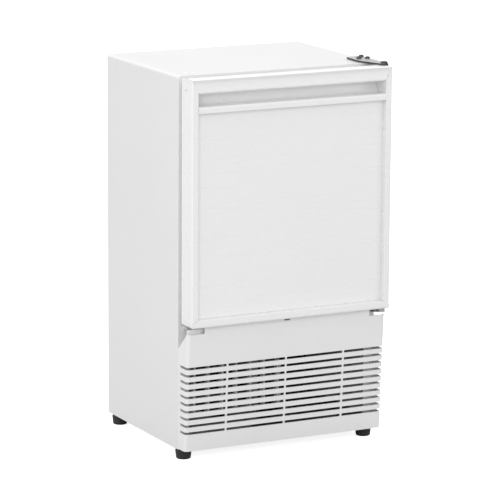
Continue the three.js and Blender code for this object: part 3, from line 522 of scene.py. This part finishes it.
# Lighter steel for the upward faces of the dark steel hinge plate: a painted highlight. Its dark edge colour
# takes the rounded rim of that top back to the dark steel.
PAINTED_LIT_HINGE_STEEL = finish("hinge_steel_painted_lit_top", (0.62, 0.63, 0.64), 0.3, spread=0.16, skin=DRAWN_GRAIN, bump=0.1,
                      bump_depth=0.0001, metallic=0.85, edge=(0.16, 0.16, 0.16), edge_width=0.0014,
                      edge_amount=0.9, edge_rough=0.2, dust=0.06)
DARK_STEEL = finish("blackened_steel", (0.07, 0.07, 0.075), 0.34, spread=0.16, skin=DRAWN_GRAIN, bump=0.12,
                    bump_depth=0.0001, metallic=0.7, edge=(0.32, 0.32, 0.33), edge_width=0.0006,
                    edge_amount=0.6, dust=0.06)
RUBBER = finish("foot_rubber", (0.02, 0.02, 0.021), 0.72, tint=0.7, bump=0.2, edge=(0.06, 0.06, 0.06),
                edge_amount=0.6, dust=0.25, dust_colour=(0.2, 0.19, 0.18), sheen=0.15)
BLACK_ENAMEL = finish("black_enamel", (0.014, 0.014, 0.015), 0.36, skin=ENAMEL_SKIN, bump=0.12, dust=0.22,
                      dust_colour=(0.3, 0.29, 0.27), edge=(0.12, 0.12, 0.12), edge_amount=0.4, coat=0.3)
BLACK_PLASTIC = finish("black_plastic", (0.018, 0.018, 0.019), 0.46, tint=0.8, bump=0.16, dust=0.14,
                       dust_colour=(0.25, 0.24, 0.23), edge=(0.06, 0.06, 0.06), edge_amount=0.5)
ALUMINIUM = finish("cast_aluminium", (0.58, 0.59, 0.60), 0.4, spread=0.18, skin=DRAWN_GRAIN, bump=0.14,
                   metallic=0.95, edge=(0.78, 0.78, 0.79), edge_amount=0.5, dust=0.05)
COPPER = finish("drawn_copper", (0.66, 0.27, 0.14), 0.3, spread=0.2, tint=0.62, skin=DRAWN_GRAIN, bump=0.08,
                metallic=0.95, dust=0.08)
GREY_PLASTIC = finish("grey_plastic", (0.46, 0.48, 0.49), 0.44, tint=0.94, bump=0.12, dust=0.05)
GASKET = finish("gasket_vinyl", (0.62, 0.62, 0.60), 0.55, tint=0.94, bump=0.1, dust=0.05, sheen=0.1)
OF_SLOT = {
    "white_paint": CABINET_ENAMEL, "panel_paint": PANEL_ENAMEL, "white_plastic": WHITE_PARTS,
    "liner_plastic": LINER_PLASTIC, "foam": FOAM, "zinc_steel": ZINC, "dark_steel": DARK_STEEL,
    "rubber": RUBBER, "black_paint": BLACK_ENAMEL, "black_plastic": BLACK_PLASTIC,
    "aluminium": ALUMINIUM, "copper": COPPER, "grey_plastic": GREY_PLASTIC, "bin_plastic": BIN_PLASTIC,
    "gasket": GASKET, "nylon": NATURAL_NYLON,
}


# ---------------------------------------------------------------- cabinet
def cabinet_skin():
    """Folded sheet: rounded along the top edges, flanged round the front, open at the back and below."""
    (x0, y0, z0), (x1, y1, z1) = CAB_LOW, CAB_HIGH
    bend = 5
    right, left = (x1 - bend, z1 - bend), (x0 + bend, z1 - bend)
    arch = [(x0, z0), (x1, z0)] + arc(right, bend, 0, 90) + arc(left, bend, 90, 180)
    piece = pushed("cabinet_skin", arch, "y", y0, y1)
    pick(piece, "faces", lambda at, n: abs(n.y) > 0.9 or n.z < -0.9)
    bpy.ops.mesh.delete(type="FACE")
    stop_editing()
    use_modifier(piece, "SOLIDIFY", thickness=SHEET * MM, offset=-1, use_even_offset=True)
    inset = 0.4
    rim = [(x1 - inset, z0)] + arc(right, bend - inset, 0, 90) + arc(left, bend - inset, 90, 180)
    rim += [(x0 + inset, z0)]
    rim += [(x0 + FLANGE, z0), (x0 + FLANGE, z1 - FLANGE), (x1 - FLANGE, z1 - FLANGE), (x1 - FLANGE, z0)]
    combine(piece, pushed("flange", rim, "y", y0, y0 + SHEET), "UNION")
    holes = [(-171, -78), (-163, -93), (-150, -94)]
    for x, y in holes:
        drill(piece, 2.2, z1 - 6, z1 + 4, (x, y), steps=20)
    soften(piece, 0.5, 3, 40)
    hand_over(piece, CABINET_ENAMEL, "outer_wrapper")
    for i, (x, y) in enumerate(holes):
        profile = [(0, z1 - 3), (1.8, z1 - 3), (1.9, z1 + 0.1), (4.2, z1 + 0.15), (4.1, z1 + 0.6),
                   (3.2, z1 + 1.0), (0, z1 + 1.2)]
        plug = spun(f"hole_plug_{i + 1}", profile, "z", (x, y), 24)
        soften(plug, 0)
        hand_over(plug, FRAME_PLASTIC, body="cabinet", slot="white_plastic")


def grille():
    """A raked, rounded cover with ten rows of slots, notched at its upper corners."""
    rear, top, bottom = GRILLE_HIGH[1], GRILLE_HIGH[2], GRILLE_LOW[2]
    front_top, front_bottom, wall, corner = GRILLE_LOW[1], GRILLE_LOW[1] + 12.5, 2.6, 6
    slope = (front_top - front_bottom) / (top - bottom)

    def raked(name, inset):
        side, front = DOOR_SIDE - inset, front_bottom + inset
        r = corner - inset
        plan = [(side, 40), (-side, 40)]
        plan += arc((-side + r, front + r), r, 180, 270, 10) + arc((side - r, front + r), r, 270, 360, 10)
        body = pushed(name, plan, "z", bottom - 10, top + 16)
        pick(body, "vertices", lambda at, n: at.z > top)
        bpy.ops.transform.translate(value=(0, slope * (top - bottom + 26) * MM, 0))
        stop_editing()
        pick(body, "vertices", lambda at, n: True)
        bpy.ops.transform.translate(value=(0, -slope * 10 * MM, 0))
        stop_editing()
        return body

    def from_side(name, inset, back):
        profile = [(back, bottom + inset), (front_bottom - 20, bottom + inset), (front_top - 20, top - inset),
                   (-145, top - inset), (-145, 221 - inset), (rear, 193 - inset), (back, 193 - inset)]
        if not inset:
            profile = profile[:-1]
        return pushed(name, profile, "x", -DOOR_SIDE - 2, DOOR_SIDE + 2)

    piece = raked("front_cover", 0)
    combine(piece, from_side("side", 0, rear), "INTERSECT")
    hollow = raked("hollow", wall)
    combine(hollow, from_side("side", wall, rear + 5), "INTERSECT")
    combine(piece, hollow, "DIFFERENCE")
    cutters = []
    bays = [(-200, -113.6), (-110.5, -2.9), (0, 107.2), (110.4, 200)]
    rows, top_slot, pitch, half_height = 10, 164.5, 12.55, 2.3
    for row in range(rows):
        z = top_slot - row * pitch
        for x0, x1 in bays:
            cutters.append(block("slot", (x0, -175, z - half_height), (x1, -122, z + half_height)))
    low, high = span("grille_catch")
    cutters.append(block("notch", (low[0] - GAP, -175, low[2] + 10 - GAP), (high[0] + GAP, -100, 240)))
    for hand in (-1, 1):
        edges = sorted((hand * 157, hand * 200))
        cutters.append(block("notch", (edges[0], -175, 223), (edges[1], -100, 240)))
    combine(piece, as_one(cutters, "slots"), "DIFFERENCE")
    wall_of_notch = block("return_wall", (-DOOR_SIDE + 1.5, -146.6, 218.6), (-156, -144.5, 230.6))
    combine(piece, wall_of_notch, "UNION")
    tidy_mesh(piece, 0.5)
    soften(piece, 0.45, 2, 40)
    hand_over(piece, GRILLE_PLASTIC, "front_grille")


def feet():
    """Rubber feet, tapered downward, with a fine groove and a hollowed sole."""
    for place in ("front_left", "front_right", "rear_left", "rear_right"):
        low, high = span("foot_" + place)
        centre = ((low[0] + high[0]) / 2, (low[1] + high[1]) / 2)
        profile = [(0, 0.8), (6, 0.8), (7, 0), (10.8, 0), (11.8, 0.4), (12.5, 1.4), (12.9, 4), (12.6, 4.4),
                   (12.7, 5.1), (13.1, 5.5), (13.9, 13.6), (13.9, 14.6), (13.5, 15.6), (12.6, 16),
                   (12.4, high[2]), (0, high[2])]
        piece = spun("pad_foot_" + place, profile, "z", centre, 40)
        soften(piece, 0)
        hand_over(piece, RUBBER, "foot_" + place)


# ---------------------------------------------------------------- door
MITRE_TOP = 26
MITRE_EDGE = DOOR_SIDE + 1
MITRE_LOW = DOOR_BOTTOM + 8
MITRE_RISE = 6.15
PIN_BORE = 6.3


def trim(piece, point, direction):
    """Cuts off what lies beyond a plane and closes the cut."""
    start_editing(piece)
    bpy.ops.mesh.select_all(action="SELECT")
    bpy.ops.mesh.bisect(plane_co=Vector(point) * MM, plane_no=Vector(direction).normalized(),
                        use_fill=True, clear_outer=True, threshold=1e-6)
    stop_editing()


def door_stiles():
    inner, outer = STILE_IN, DOOR_SIDE
    for side, s in (("left", -1), ("right", 1)):
        profile = [(s * inner, FRAME_REAR), (s * inner, DOOR_FRONT + 1.2)]
        rim = arc((inner + 1.2, DOOR_FRONT + 1.2), 1.2, 180, 270, 4)[1:]
        rim += arc((outer - 3, DOOR_FRONT + 3), 3, 270, 360, 6)
        profile += [(s * a, b) for a, b in rim] + [(s * outer, FRAME_REAR)]
        piece = pushed(f"{side}_stile", profile, "z", DOOR_BOTTOM, DOOR_TOP)
        trim(piece, (s * MITRE_EDGE, 0, MITRE_LOW + GAP / 2), (s * -MITRE_RISE, 0, inner - MITRE_EDGE))
        trim(piece, (s * (outer + 0.3), 0, DOOR_TOP), (s * -MITRE_TOP, 0, outer - inner))
        if s > 0:
            drill(piece, PIN_BORE, DOOR_BOTTOM - 2, DOOR_BOTTOM + 14, HINGE)
            drill(piece, PIN_BORE, DOOR_TOP - 18, DOOR_TOP + 2, HINGE)
        else:
            drill(piece, 2.2, -DOOR_SIDE - 2, -DOOR_SIDE + 5, (-143, 634), along="x", steps=24)
        soften(piece, 0.35, 2, 40)
        hand_over(piece, FRAME_PLASTIC, f"door_{side}_stile")


def bottom_rail():
    profile = [(DOOR_FRONT, DOOR_BOTTOM + 4)] + arc((DOOR_FRONT + 4, DOOR_BOTTOM + 4), 4, 180, 270, 6)[1:]
    profile += [(FRAME_REAR, DOOR_BOTTOM), (FRAME_REAR, RAIL_TOP)]
    profile += arc((DOOR_FRONT + 1.2, RAIL_TOP - 1.2), 1.2, 90, 180, 4)
    piece = pushed("bottom_rail", profile, "x", -DOOR_SIDE, DOOR_SIDE)
    for s in (-1, 1):
        trim(piece, (s * MITRE_EDGE, 0, MITRE_LOW - GAP / 2), (s * MITRE_RISE, 0, MITRE_EDGE - STILE_IN))
        corner = [(s * 200, 200), (s * 200, 300), (s * (DOOR_SIDE + 0.01), 300)]
        corner += [(s * a, b) for a, b in arc((DOOR_SIDE - 5, DOOR_BOTTOM + 5), 5, 0, -90, 6)]
        corner += [(s * 170, 200)]
        combine(piece, pushed("corner", corner, "y", DOOR_FRONT - 5, FRAME_REAR + 5), "DIFFERENCE")
    drill(piece, PIN_BORE, DOOR_BOTTOM - 2, DOOR_BOTTOM + 18, HINGE)
    soften(piece, 0.35, 2, 40)
    hand_over(piece, FRAME_PLASTIC, "door_bottom_rail")


def handle_rail():
    """The top member: a hollowed face over a deep finger recess with a rolled lip."""
    front, top, lip = DOOR_FRONT, DOOR_TOP, 608
    step = front + 22
    start, face = top - 2.6, 18.4
    fall = [start - face * t / 16 for t in range(1, 17)]
    cove = [(front + 4.4 * (1 - math.exp((z - start) / 3.2)) - 1.6 * (start - z) / face, z) for z in fall]
    profile = [(FRAME_REAR, top - 5), (step, top - 5), (step, top - 0.6), (step - 0.6, top)]
    profile += arc((front + 1.8, top - 1.8), 1.8, 90, 180, 5) + cove
    profile += arc((front + 6.6, top - 21.5), 3.8, 185, 262, 7)
    profile += [(front + 26, 631)] + arc((front + 27, 625), 6, 80, 0, 6)
    profile += [(front + 33, lip + 12)] + arc((front + 21, lip + 12), 12, 0, -90, 10)[1:]
    profile += arc((front + 4, lip - 2.6), 2.6, 90, 120, 2) + arc((front + 2.4, lip - 2.9), 2.4, 110, 180, 4)
    profile += [(front, HANDLE_LOW + 1.2)] + arc((front + 1.2, HANDLE_LOW + 1.2), 1.2, 180, 270, 3)[1:]
    profile += [(FRAME_REAR, HANDLE_LOW)]
    piece = pushed("handle_rail", profile, "x", -DOOR_SIDE, DOOR_SIDE)
    for s in (-1, 1):
        inner = STILE_IN - GAP
        corner = [(s * (DOOR_SIDE + 0.5), DOOR_TOP + 0.4), (s * (DOOR_SIDE + 20), DOOR_TOP + 0.4),
                  (s * (DOOR_SIDE + 20), 580), (s * inner, 580), (s * inner, DOOR_TOP - MITRE_TOP - GAP)]
        combine(piece, pushed("corner", corner, "y", front - 5, FRAME_REAR + 5), "DIFFERENCE")
    drill(piece, PIN_BORE, DOOR_TOP - 18, DOOR_TOP + 2, HINGE)
    soften(piece, 0.25, 2, 50)
    hand_over(piece, FRAME_PLASTIC, "door_handle_rail")


def insert_panel():
    (x0, y0, z0), (x1, y1, z1) = PANEL_LOW, PANEL_HIGH
    piece = block("insert_panel", (x0 - 0.2, y0, z0 - 0.2), (x1 + 0.2, y1, z1 + 0.2))
    pick(piece, "faces", lambda at, n: n.y < -0.9)
    bpy.ops.mesh.inset(thickness=2.5 * MM)
    bpy.ops.transform.translate(value=(0, -0.2 * MM, 0))
    stop_editing()
    soften(piece, 0.12, 2, 20)
    hand_over(piece, PANEL_ENAMEL, "door_insert_panel")


# ---------------------------------------------------------------- hinges
def hinge_plate():
    low, high = span("top_hinge_plate")
    outline = [(155, -105), (157, -62), (181, -54), (187.4, -58)] + arc(HINGE, 7.4, 0, -144, 18)
    piece = pushed("hinge_plate", outline, "z", low[2], high[2])
    holes = [(screw_centre(n), 2.6) for n in ("left", "rear", "right")] + [(HINGE, 4.3)]
    for centre, radius in holes:
        drill(piece, radius, low[2] - 2, high[2] + 2, centre)
    soften(piece, 0.4, 3, 40)
    hand_over(piece, PAINTED_LIT_HINGE_STEEL, "top_hinge_plate")
    # Faces that look up take the lighter steel and the rest the dark steel: a painted highlight on the top of
    # one dark steel plate.
    piece.data.materials.append(DARK_STEEL)
    for face in piece.data.polygons:
        face.material_index = int(face.normal.z < 0.6)


def screw_centre(name):
    low, high = span("hinge_screw_" + name)
    return (low[0] + high[0]) / 2, (low[1] + high[1]) / 2


def hinge_screws():
    """Pan head screws with a cross recess."""
    for name, turn in (("left", 20), ("rear", 64), ("right", 41)):
        low, high = span("hinge_screw_" + name)
        centre = screw_centre(name)
        seat, crown = high[2] - 3, high[2]
        profile = [(0, low[2]), (1.5, low[2]), (2.2, low[2] + 1), (2.2, seat), (4.4, seat),
                   (4.45, seat + 0.7), (4.2, seat + 1.7), (3.4, seat + 2.5), (2.2, crown - 0.1), (0, crown)]
        piece = spun("pan_screw_" + name, profile, "z", centre, 32)
        for extra in (0, 90):
            x, y = centre
            tool = block("slot", (x - 2.5, y - 0.45, crown - 1.5), (x + 2.5, y + 0.45, crown + 2))
            start_editing(tool)
            bpy.ops.mesh.select_all(action="SELECT")
            bpy.ops.transform.rotate(value=math.radians(turn + extra), orient_axis="Z",
                                     center_override=Vector((x, y, crown)) * MM)
            stop_editing()
            combine(piece, tool, "DIFFERENCE")
        soften(piece, 0)
        hand_over(piece, DARK_STEEL, "hinge_screw_" + name)


def hinge_pin():
    low, high = span("top_hinge_pin")
    head = high[2] - 3
    profile = [(0, low[2]), (3.2, low[2]), (4, low[2] + 0.8), (4, head), (5.9, head), (6, head + 0.4),
               (6, head + 1.6), (5.2, high[2] - 0.4), (4.4, high[2]), (2.6, high[2]),
               (2.2, high[2] - 0.6), (0, high[2] - 0.7)]
    piece = spun("hinge_pin", profile, "z", HINGE, 36)
    soften(piece, 0)
    hand_over(piece, DARK_STEEL, "top_hinge_pin")


# ---------------------------------------------------------------- the rest of the nodes
FINE = {
    "rear_panel": 0.3, "base_pan": 0.3, "inner_liner": 2.0, "front_crossmember": 0.4,
    "hinge_hole_cap": 0.4, "grille_catch": 0.5, "bottom_hinge_bracket": 0.5, "door_liner": 1.2,
    "door_gasket": 0.8, "door_top_bush": 0.4, "door_bottom_bush": 0.4, "compressor": 1.5,
    "relay_cover": 1.0, "fan_bracket": 0.3, "fan_motor": 0.8, "water_valve": 0.6, "cord_gland": 0.5,
    "evaporator_plate": 0.5, "thermostat_housing": 0.8, "thermostat_knob": 0.5, "ice_mould": 0.8,
    "ejector_rake": 0.4, "ice_stripper": 0.4, "drive_gear": 0.15, "motor_pinion": 0.15,
    "drive_motor": 0.6, "control_case": 0.8, "control_cover": 0.8, "fill_cup": 0.8, "ice_bin": 1.0,
    "fan_blade": 0.2,
}


def inner_parts():
    for name, width in FINE.items():
        fine_copy(name, width, OF_SLOT[SLOT_OF[name]])
    for name, shown in NODES.items():
        shown.data.materials.clear()
        shown.data.materials.append(OF_SLOT[SLOT_OF[name]])


cabinet_skin()
grille()
feet()
door_stiles()
bottom_rail()
handle_rail()
insert_panel()
hinge_plate()
hinge_screws()
hinge_pin()
inner_parts()


# ---------------------------------------------------------------- studio
def studio():
    drop_selection()
    bpy.ops.mesh.primitive_plane_add(size=14, location=(0, 0, 0))
    floor = bpy.context.object
    floor.name = "studio_floor"
    pale = bpy.data.materials.new("pale_floor")
    pale.use_nodes = True
    shader = pale.node_tree.nodes["Principled BSDF"]
    shader.inputs["Roughness"].default_value = 0.85
    shader.inputs["Emission Color"].default_value = (1, 1, 1, 1)
    tree = pale.node_tree
    seen = node(tree, "ShaderNodeLightPath").outputs["Is Camera Ray"]
    shade = blended(tree, object_noise(tree, 3.0), (0.90, 0.90, 0.90), (0.92, 0.92, 0.92))
    tree.links.new(blended(tree, seen, (0.5, 0.5, 0.5), shade), shader.inputs["Base Color"])
    tree.links.new(maths(tree, "MULTIPLY", seen, 0.82), shader.inputs["Emission Strength"])
    floor.data.materials.append(pale)
    world = bpy.data.worlds.new("studio_air")
    bpy.context.scene.world = world
    world.use_nodes = True
    world.node_tree.nodes["Background"].inputs["Color"].default_value = (1, 1, 1, 1)
    world.node_tree.nodes["Background"].inputs["Strength"].default_value = 0.78
    for name, place, aim, size, power in (
        ("key_softbox", (-2.2, -3.4, 1.9), (0, 0, 0.35), 1.8, 44),
        ("side_softbox", (-3.6, 0.2, 1.9), (0, 0, 0.5), 1.6, 33),
        ("fill_softbox", (2.6, -3.4, 1.3), (0, 0, 0.35), 1.6, 16),
        ("top_softbox", (0.2, 0.4, 3.0), (0, 0, 0.5), 2.0, 26),
    ):
        lamp = bpy.data.lights.new(name, "AREA")
        lamp.size, lamp.energy = size, power
        held = bpy.data.objects.new(name, lamp)
        bpy.context.scene.collection.objects.link(held)
        held.location = place
        held.rotation_euler = (Vector(aim) - Vector(place)).to_track_quat("-Z", "Y").to_euler()
    bpy.context.scene.view_settings.view_transform = "Standard"


def camera():
    yaw, pitch, roll = (math.radians(a) for a in (27.202, 11.675, 0.331))
    ahead = Vector((math.sin(yaw) * math.cos(pitch), math.cos(yaw) * math.cos(pitch), -math.sin(pitch)))
    level = ahead.cross(Vector((0, 0, 1))).normalized()
    upright = level.cross(ahead)
    across = math.cos(roll) * level + math.sin(roll) * upright
    up = math.cos(roll) * upright - math.sin(roll) * level
    lens = bpy.data.cameras.new("studio_camera")
    lens.lens, lens.sensor_width = 232.39, 36
    lens.clip_end = 100
    held = bpy.data.objects.new("studio_camera", lens)
    bpy.context.scene.collection.objects.link(held)
    turn = Matrix((across, up, -ahead)).transposed()
    held.matrix_world = Matrix.Translation((-2.48501, -4.84531, 1.44870)) @ turn.to_4x4()
    bpy.context.scene.camera = held


studio()
camera()
